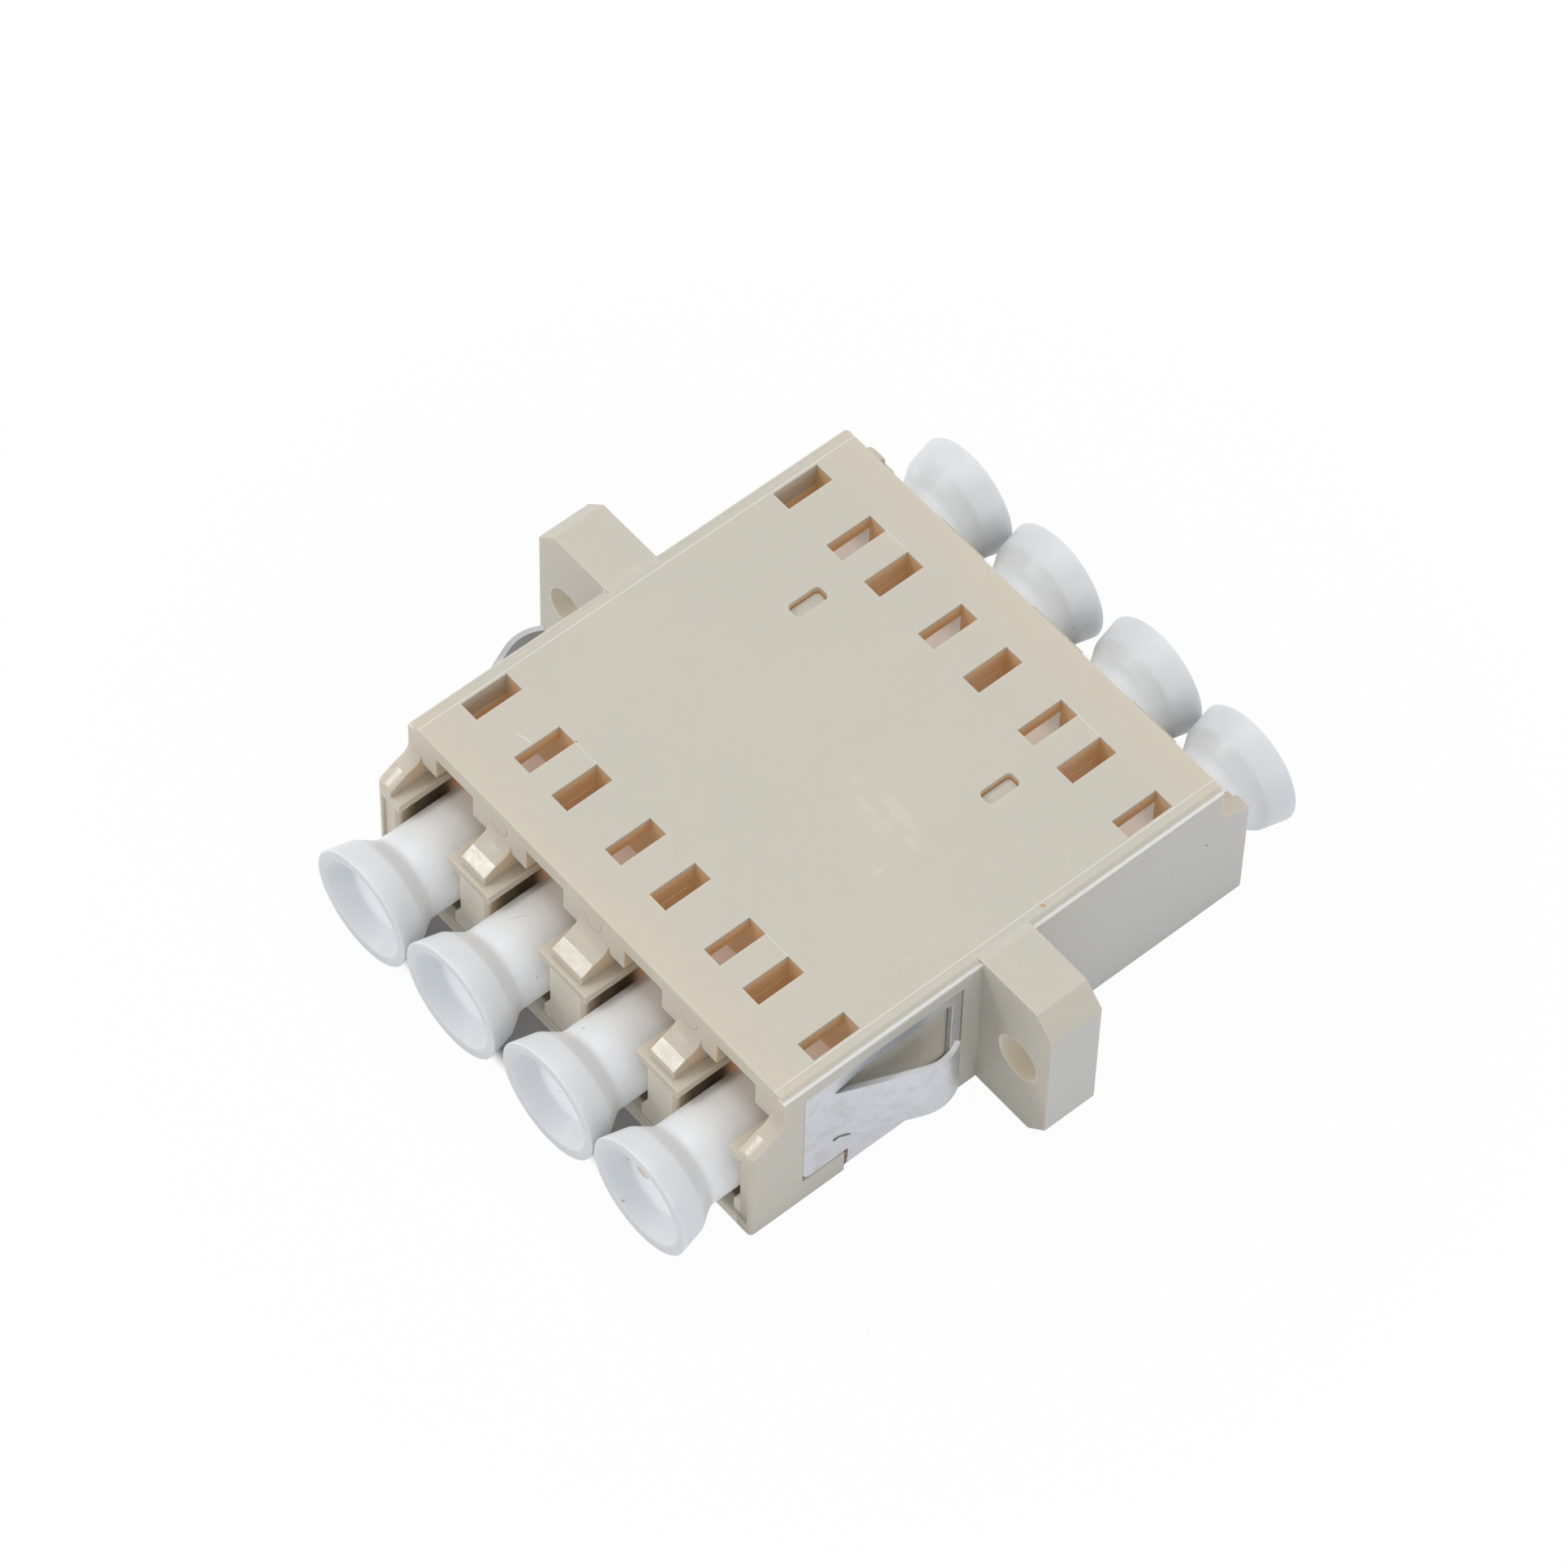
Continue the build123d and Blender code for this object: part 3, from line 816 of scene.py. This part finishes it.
    def _marked(self, bench: Bench, at: Where, colour: Wire) -> Wire:
        """Adds the scratch and the spots of dirt that the front caps carry.

        Args:
            bench: The material's bench.
            at: The point being shaded.
            colour: The colour so far.

        Returns:
            The colour with its marks.
        """
        in_cup = at.y < -self.cup_y
        colour = bench.mix(bench.oval(at.x, at.z, self.cup_scratch) * in_cup, colour, self.tan)
        spots = bench.ovals(at.x, at.z, self.cup_spots) * in_cup
        spots = bench.ovals(at.x, at.y, self.grip_spots) * (at.z > self.grip_top) + spots
        return bench.mix(spots, colour, self.dirt)

    def _glow(self, bench: Bench, at: Where, reach: Wire) -> Wire:
        """The painted glow: an emission that stands in for the light that soaks through, most in the
        cup, on the grip and inside the ports.

        Args:
            bench: The material's bench.
            at: The point being shaded.
            reach: The distance from the nearest cap's axis.

        Returns:
            The colour of the glow.
        """
        grip = bench.ease(at.along, 15.3, 16.1, 1.0, 0.0) * bench.ease(at.along, 11.7, 12.7)
        cup = bench.ease(reach, 1.6, 1.9, 1.0, 0.0) * (at.along > 16.2)
        inside = bench.ease(at.along, 10.2, 11.6, 1.0, 0.0)
        glow = bench.mix(grip * 0.36 + cup * 0.46 + 0.06, BLACK, self.outer_glow)
        return bench.mix(inside, glow, bench.mix(at.y > 0.0, self.front_glow, self.rear_glow))


@dataclass(frozen=True)
class SpringSteel:
    """Bright rolled spring sheet, with rolling lines, fine scratches, a rust mark at the step and a
    painted shadow in the slit at the tongue's root.
    """

    name: str = "spring_steel"
    colour: Colour = (0.690, 0.705, 0.745, 1.0)
    dull: Colour = (0.560, 0.565, 0.580, 1.0)
    rust: Colour = (0.180, 0.040, 0.025, 1.0)
    # Painted shadow colour for the slit at the tongue's root.
    slit_shadow_colour: Colour = (0.080, 0.060, 0.050, 1.0)
    cut: Colour = (0.380, 0.375, 0.370, 1.0)
    # Painted shadow in the slit at the tongue's root.
    painted_slit_shadow: Mark = Mark((-9.34, 3.27), (0.36, 0.17), 12.0)
    step_y: float = -9.0
    step_top: float = 1.5

    def build(self) -> bpy.types.Material:
        """Makes the material.

        Returns:
            The material.
        """
        material = new_material(self.name)
        bench = Bench(material)
        at = bench.where()
        rolled = bench.noise(bench.stretch(at.point, (1.0, 0.25, 9.0)), 2.0, 3.0, 0.65)
        patch = bench.noise(at.point, 1.1, 4.0, 0.65)
        fine = bench.noise(at.point, 14.0, 3.0, 0.7)
        colour = bench.mix(bench.ease(patch, 0.42, 0.68) * 0.6, self.colour, self.dull)
        colour = bench.mix(bench.ease(fine, 0.55, 0.8) * 0.3, colour, self.dull)
        step = bench.within(at.y, self.step_y - 0.02, self.step_y + 0.16, 0.03)
        step = step * bench.within(at.z, 0.3, self.step_top + 0.05, 0.05)
        rust = step * bench.ease(bench.noise(at.point, 5.0, 2.0), 0.35, 0.5)
        colour = bench.mix(rust * 0.85, colour, self.rust)
        # Painted shadow: the slit at the tongue's root is darkened and made non-metallic.
        painted_slit_shadow = bench.oval(at.y, at.z, self.painted_slit_shadow)
        colour = bench.mix(painted_slit_shadow * 0.85, colour, self.slit_shadow_colour)
        bent = bench.maths("MAXIMUM", bench.softened(), bench.ease(at.facing_z, 0.6, 0.9))
        colour = bench.mix(bent * 0.75, colour, self.cut)
        bench.surface({
            "Base Color": colour,
            "Metallic": 1.0 - bench.maths("MAXIMUM", rust, painted_slit_shadow),
            "Roughness": bench.ease(rolled, 0.3, 0.75, 0.30, 0.46) + rust * 0.4 + bent * 0.15,
            "Normal": bench.bump(rolled * 0.004 + fine * 0.0015),
        })
        return material


@dataclass(frozen=True)
class SleeveBronze:
    """Drawn phosphor bronze with lengthwise drawing lines."""

    name: str = "sleeve_bronze"
    colour: Colour = (0.780, 0.540, 0.330, 1.0)
    dull: Colour = (0.620, 0.400, 0.230, 1.0)

    def build(self) -> bpy.types.Material:
        """Makes the material.

        Returns:
            The material.
        """
        material = new_material(self.name)
        bench = Bench(material)
        place = bench.place()
        lines = bench.noise(bench.stretch(place, (12.0, 0.3, 12.0)), 1.5, 3.0)
        colour = bench.mix(bench.ease(lines, 0.4, 0.7), self.colour, self.dull)
        bench.surface({
            "Base Color": colour,
            "Metallic": 1.0,
            "Roughness": bench.ease(lines, 0.3, 0.7, 0.22, 0.38),
            "Normal": bench.bump(lines * 0.003),
        })
        return material


@dataclass(frozen=True)
class PaperFloor:
    """White paper that the camera sees as a white ground, with a light shadow kept near the object and a
    painted shadow under it.
    """

    name: str = "white_paper"
    colour: Colour = (0.86, 0.865, 0.88, 1.0)
    shadow: Colour = (0.30, 0.29, 0.30, 1.0)
    seen_share: float = 0.96
    near: float = 30.0
    far: float = 45.0
    beneath_x: float = 9.8
    beneath_y: float = 17.4
    beneath_soft: float = 0.8
    beneath_share: float = 0.92
    glossy_share: float = 0.55

    def build(self) -> bpy.types.Material:
        """Makes the material.

        Returns:
            The material.
        """
        material = new_material(self.name)
        bench = Bench(material)
        place = bench.place()
        x, y, _ = bench.split(place)
        fibres = bench.noise(place, 0.4, 3.0)
        inner_x, inner_y = self.beneath_x - self.beneath_soft, self.beneath_y - self.beneath_soft
        beneath = bench.ease(abs(x), inner_x, self.beneath_x, 1.0, 0.0)
        beneath = beneath * bench.ease(abs(y), inner_y, self.beneath_y, 1.0, 0.0)
        shade = bench.mix(fibres * 0.1, self.colour, WHITE)
        # Painted shadow: the paper is darkened under the object.
        shade = bench.mix(beneath * 0.9, shade, self.shadow)
        paper = bench.node("ShaderNodeBsdfDiffuse", {}, {"Color": shade})
        ground = bench.node("ShaderNodeEmission", {}, {"Color": WHITE, "Strength": 1.0})
        camera = bench.node("ShaderNodeLightPath", output="Is Camera Ray")
        glossy = bench.node("ShaderNodeLightPath", output="Is Glossy Ray")
        through = bench.node("ShaderNodeLightPath", output="Is Transmission Ray")
        reflected = bench.maths("MAXIMUM", glossy * self.glossy_share, through)
        seen = bench.maths("MAXIMUM", camera, reflected)
        reach = bench.reach(x, y, (0.0, 0.0))
        bare = bench.ease(reach, self.near, self.far, self.seen_share, 1.0)
        factor = seen * (bare - beneath * self.beneath_share)
        mixed = bench.node("ShaderNodeMixShader", {}, {0: factor, 1: paper, 2: ground})
        bench.output(mixed)
        return material


def make_object(
    mesh: bmesh.types.BMesh, name: str, material: bpy.types.Material, sharp: float
) -> bpy.types.Object:
    """Turns a mesh in metres into an object with one material.

    Args:
        mesh: The mesh, which is freed.
        name: The object's name.
        material: Its finish.
        sharp: The angle in degrees past which an edge is drawn sharp.

    Returns:
        The linked object.
    """
    for face in mesh.faces:
        face.smooth = True
    for edge in edges_that_turn(mesh, sharp, Bend.ANY):
        edge.smooth = False
    data = bpy.data.meshes.new(name)
    mesh.to_mesh(data)
    mesh.free()
    data.materials.append(material)
    made = bpy.data.objects.new(name, data)
    bpy.context.scene.collection.objects.link(made)
    log.info("%s: %d faces", name, len(data.polygons))
    return made


def edges_that_turn(
    mesh: bmesh.types.BMesh, degrees: float, bend: Bend
) -> list[bmesh.types.BMEdge]:
    """Lists the edges whose two faces turn by more than an angle.

    Args:
        mesh: The mesh.
        degrees: The least turn.
        bend: Whether only outward edges count.

    Returns:
        The edges.
    """
    limit = math.radians(degrees)
    joined = [edge for edge in mesh.edges if len(edge.link_faces) == 2]
    found = [edge for edge in joined if edge.calc_face_angle() > limit]
    if bend is Bend.OUTWARD:
        found = [edge for edge in found if edge.is_convex]
    return found


def softened_copy(
    node: bpy.types.Object, name: str, material: bpy.types.Material, width: float, bend: Bend
) -> bpy.types.Object:
    """Copies a CAD node's solid and gives its edges the small radius of a real moulding or sheet.

    Args:
        node: The CAD node.
        name: The new piece's name.
        material: Its finish.
        width: The edge radius, in millimetres.
        bend: Which edges get it.

    Returns:
        The new piece.
    """
    mesh = bmesh.new()
    mesh.from_mesh(node.data)
    bmesh.ops.remove_doubles(mesh, verts=mesh.verts, dist=WELD * MM)
    bmesh.ops.dissolve_limit(
        mesh, angle_limit=math.radians(FLAT_DEGREES), use_dissolve_boundaries=False,
        verts=mesh.verts, edges=mesh.edges,
    )
    softened = bmesh.ops.bevel(
        mesh, geom=edges_that_turn(mesh, TURN_DEGREES, bend), offset=width * MM, offset_type="OFFSET",
        segments=2, profile=0.5, affect="EDGES", clamp_overlap=False, material=-1,
    )
    layer = mesh.faces.layers.float.new(EDGE_LAYER)
    for face in softened["faces"]:
        if face.is_valid:
            face[layer] = 1.0
    made = make_object(mesh, name, material, SHARP_DEGREES)
    even = made.modifiers.new("even_shading", "WEIGHTED_NORMAL")
    even.weight = 100
    even.keep_sharp = True
    return made


@dataclass
class Housing:
    """The one-piece moulded shell with its flange, catch windows and lead-in ramps."""

    edge_width: float = 0.045
    node: str = "housing"
    name: str = "housing_moulding"

    def build(self, frame: dict[str, Any], finish: bpy.types.Material) -> None:
        """Builds the shell and hides the plain solid behind it.

        Args:
            frame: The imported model.
            finish: The moulding's material.
        """
        solid = frame["nodes"][self.node]
        shell = softened_copy(solid, self.name, finish, self.edge_width, Bend.OUTWARD)
        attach(shell, ADAPTER_BODY)
        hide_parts(self.node)


@dataclass
class SleeveHolders:
    """The two inserts that snap in from below and hold the alignment sleeves."""

    edge_width: float = 0.04
    sides: tuple[str, str] = ("left", "right")
    sleeves: int = 4

    def build(
        self, frame: dict[str, Any], finish: bpy.types.Material, bronze: bpy.types.Material
    ) -> None:
        """Builds both holders and dresses the sleeves inside them.

        Args:
            frame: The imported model.
            finish: The holders' material.
            bronze: The sleeves' material.
        """
        for side in self.sides:
            node = f"sleeve_holder_{side}"
            name = f"holder_moulding_{side}"
            holder = softened_copy(frame["nodes"][node], name, finish, self.edge_width, Bend.OUTWARD)
            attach(holder, ADAPTER_BODY)
            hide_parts(node)
        for number in range(1, self.sleeves + 1):
            dress(frame["nodes"][f"split_sleeve_{number}"], bronze)


@dataclass
class PanelClip:
    """The spring sheet bent round the bottom, with a tongue lanced out of each side."""

    edge_width: float = 0.035
    node: str = "panel_clip"
    name: str = "panel_clip_sheet"

    def build(self, frame: dict[str, Any], finish: bpy.types.Material) -> None:
        """Builds the clip.

        Args:
            frame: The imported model.
            finish: The sheet's material.
        """
        sheet = softened_copy(frame["nodes"][self.node], self.name, finish, self.edge_width, Bend.ANY)
        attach(sheet, ADAPTER_BODY)
        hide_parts(self.node)


@dataclass
class DustCap:
    """One bell-shaped cap: bored nose, straight grip, cone, broad band and a cupped end."""

    end: End
    number: int
    axis_x: float = 0.0
    axis_z: float = PORT_AXIS_Z
    bore_end: float = 7.5
    tip: float = 4.6
    shoulder: float = 8.3
    cone: float = 15.65
    band: float = 16.6
    rim: float = 18.0
    rear_seat: float = 0.45
    bore_r: float = 1.25
    nose_r: float = 1.65
    grip_r: float = 2.1
    band_r: float = 2.745
    rim_r: float = 3.07
    cup_r: float = 2.50
    cup_floor_r: float = 1.75
    cup_depth: float = 1.10
    pip_r: float = 0.45
    pip_depth: float = 0.10
    pip_taper: float = 0.7
    sharp: float = 50.0
    steps: int = 72
    ring_slack: float = 0.004

    def profile(self) -> list[tuple[float, float, float]]:
        """The half outline from the bore's end round to the middle of the cup.

        Returns:
            For each corner its radius, its distance along the axis, and its rounding.
        """
        floor = self.rim - self.cup_depth
        return [
            (self.bore_r, self.bore_end, 0.15),
            (self.bore_r, self.tip, 0.12),
            (self.nose_r, self.tip, 0.15),
            (self.nose_r, self.shoulder, 0.10),
            (self.grip_r, self.shoulder, 0.12),
            (self.grip_r, self.cone, 0.22),
            (self.band_r, self.band, 0.10),
            (self.rim_r, self.rim, 0.09),
            (self.cup_r, self.rim, 0.08),
            (self.cup_floor_r, floor, 0.30),
            (self.pip_r, floor, 0.05),
            (self.pip_r * self.pip_taper, floor - self.pip_depth, 0.05),
        ]

    def build(self, finish: bpy.types.Material) -> None:
        """Spins the outline into a cap, rounds its rings and puts it in its port.

        Args:
            finish: The cap's material.
        """
        corners = self.profile()
        mesh = bmesh.new()
        chain = [mesh.verts.new((0.0, self.bore_end, 0.0))]
        chain += [mesh.verts.new((radius, along, 0.0)) for radius, along, _ in corners]
        chain.append(mesh.verts.new((0.0, corners[-1][1], 0.0)))
        rims = [mesh.edges.new(pair) for pair in zip(chain, chain[1:])]
        bmesh.ops.spin(
            mesh, geom=chain + rims, cent=(0, 0, 0), axis=(0, 1, 0), dvec=(0, 0, 0),
            angle=2 * math.pi, steps=self.steps, use_merge=True,
        )
        bmesh.ops.remove_doubles(mesh, verts=mesh.verts, dist=WELD)
        for radius, along, rounding in corners:
            bmesh.ops.bevel(
                mesh, geom=self._ring(mesh, radius, along), offset=rounding, offset_type="OFFSET",
                segments=3, profile=0.5, affect="EDGES", clamp_overlap=False, material=-1,
            )
        if self.end is End.FRONT:
            bmesh.ops.scale(mesh, vec=(1, -1, 1), verts=mesh.verts)
        bmesh.ops.recalc_face_normals(mesh, faces=mesh.faces)
        seat = self.rear_seat if self.end is End.REAR else 0.0
        bmesh.ops.translate(mesh, vec=(self.axis_x, -seat, self.axis_z), verts=mesh.verts)
        bmesh.ops.scale(mesh, vec=(MM, MM, MM), verts=mesh.verts)
        node = f"dust_cap_{self.end.name.lower()}_{self.number}"
        cap = make_object(mesh, f"{node}_moulding", finish, self.sharp)
        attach(cap, node)
        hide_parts(node)

    def _ring(self, mesh: bmesh.types.BMesh, radius: float, along: float) -> list[bmesh.types.BMEdge]:
        """Finds the ring at one corner of the outline.

        Args:
            mesh: The spun mesh.
            radius: The ring's radius.
            along: Its distance along the axis.

        Returns:
            The ring's edges.
        """
        def on_ring(vert: bmesh.types.BMVert) -> bool:
            """True on the ring."""
            off = abs(math.hypot(vert.co.x, vert.co.z) - radius)
            return off < self.ring_slack and abs(vert.co.y - along) < self.ring_slack
        return [edge for edge in mesh.edges if all(on_ring(vert) for vert in edge.verts)]


def dress(node: bpy.types.Object, material: bpy.types.Material) -> None:
    """Gives a CAD node that stays in view its finish.

    Args:
        node: The CAD node.
        material: Its finish.
    """
    node.data.materials.clear()
    node.data.materials.append(material)
    log.info("%s: dressed", node.name)


@dataclass
class PhotoCamera:
    """The camera that sees the adapter as the photograph does, on a square frame."""

    azimuth: float = 48.317
    elevation: float = 56.031
    roll: float = 1.754
    distance: float = 349.27
    target: tuple[float, float, float] = (-1.810, -0.185, 5.0)
    focal_pixels: float = 9711.25
    frame_pixels: float = 1932.0
    sensor: float = 36.0

    def build(self) -> None:
        """Makes the camera and sets it as the scene's."""
        turn, rise, roll = (math.radians(a) for a in (self.azimuth, self.elevation, self.roll))
        out = math.cos(rise)
        back = Vector((math.sin(turn) * out, -math.cos(turn) * out, math.sin(rise)))
        level = (-back).cross(Vector((0, 0, 1))).normalized()
        upright = level.cross(-back)
        right = math.cos(roll) * level + math.sin(roll) * upright
        up = math.cos(roll) * upright - math.sin(roll) * level
        data = bpy.data.cameras.new("photo_camera")
        data.sensor_fit = "HORIZONTAL"
        data.sensor_width = self.sensor
        data.lens = self.focal_pixels / self.frame_pixels * self.sensor
        data.clip_start = 0.01
        data.clip_end = 10.0
        camera = bpy.data.objects.new("photo_camera", data)
        bpy.context.scene.collection.objects.link(camera)
        place = (Vector(self.target) + back * self.distance) * MM
        facing = Matrix((right, up, back)).transposed().to_4x4()
        camera.matrix_world = Matrix.Translation(place) @ facing
        bpy.context.scene.camera = camera


@dataclass
class SoftBox:
    """One soft studio lamp."""

    name: str
    place: tuple[float, float, float]
    size: float
    power: float
    colour: tuple[float, float, float] = (1.0, 1.0, 1.0)

    def build(self) -> None:
        """Makes the lamp, pointed at the adapter."""
        data = bpy.data.lights.new(self.name, "AREA")
        data.shape = "DISK"
        data.size = self.size
        data.energy = self.power
        data.color = self.colour
        lamp = bpy.data.objects.new(self.name, data)
        lamp.location = self.place
        lamp.rotation_mode = "QUATERNION"
        lamp.rotation_quaternion = Vector(self.place).to_track_quat("Z", "Y")
        bpy.context.scene.collection.objects.link(lamp)


@dataclass
class Studio:
    """The plain white ground, the lamps and the even light from all round."""

    floor_half: float = 1.5
    floor_drop: float = 0.00002
    sky: float = 0.52
    sky_colour: Colour = (0.97, 0.985, 1.0, 1.0)
    lamps: list[SoftBox] = field(default_factory=lambda: [
        SoftBox("top_box", (-0.10, 0.12, 0.55), 0.50, 1.00, (1.0, 0.99, 0.97)),
        SoftBox("nose_box", (-0.26, -0.34, 0.45), 0.14, 0.70),
        SoftBox("cool_side_box", (0.60, -0.05, 0.25), 0.40, 0.36, (0.80, 0.92, 1.0)),
        SoftBox("edge_box", (0.50, 0.22, 0.25), 0.08, 0.16),
        SoftBox("left_front_box", (-0.50, -0.38, 0.16), 0.30, 0.40, (1.0, 0.98, 0.95)),
    ])

    def build(self) -> None:
        """Builds the studio."""
        mesh = bmesh.new()
        bmesh.ops.create_grid(mesh, x_segments=2, y_segments=2, size=self.floor_half)
        bmesh.ops.translate(mesh, vec=(0, 0, -self.floor_drop), verts=mesh.verts)
        floor = make_object(mesh, "paper_floor", PaperFloor().build(), SHARP_DEGREES)
        for lamp in self.lamps:
            lamp.build()
        self._light_sky()
        settings = bpy.context.scene.view_settings
        settings.view_transform = "Standard"

    def _light_sky(self) -> None:
        """Sets the even light from all round, white to the camera and to metal."""
        world = bpy.data.worlds.new("studio_world")
        bpy.context.scene.world = world
        bench = Bench(world)
        camera = bench.node("ShaderNodeLightPath", output="Is Camera Ray")
        glossy = bench.node("ShaderNodeLightPath", output="Is Glossy Ray")
        strength = self.sky + camera * (1.0 - self.sky) + glossy * 0.2
        inputs = {"Color": self.sky_colour, "Strength": strength}
        light = bench.node("ShaderNodeBackground", {}, inputs)
        bench.output(light, "ShaderNodeOutputWorld")


@dataclass
class Adapter:
    """The whole adapter, built in order from its sub-assemblies."""

    port_xs: tuple[float, ...] = (-OUTER_PORT_X, -INNER_PORT_X, INNER_PORT_X, OUTER_PORT_X)

    def build(self, frame: dict[str, Any]) -> None:
        """Builds and dresses every piece.

        Args:
            frame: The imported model.
        """
        beige = BeigeMoulding().build()
        Housing().build(frame, beige)
        SleeveHolders().build(frame, beige, SleeveBronze().build())
        PanelClip().build(frame, SpringSteel().build())
        white = CapPlastic().build()
        for end in End:
            for number, x in enumerate(self.port_xs, 1):
                DustCap(end, number, axis_x=x).build(white)


def main() -> None:
    """Builds the adapter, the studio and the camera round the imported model."""
    logging.basicConfig(level=logging.INFO, format="%(name)s %(message)s")
    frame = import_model()
    PhotoCamera().build()
    Studio().build()
    Adapter().build(frame)


if __name__ == "__main__":
    main()
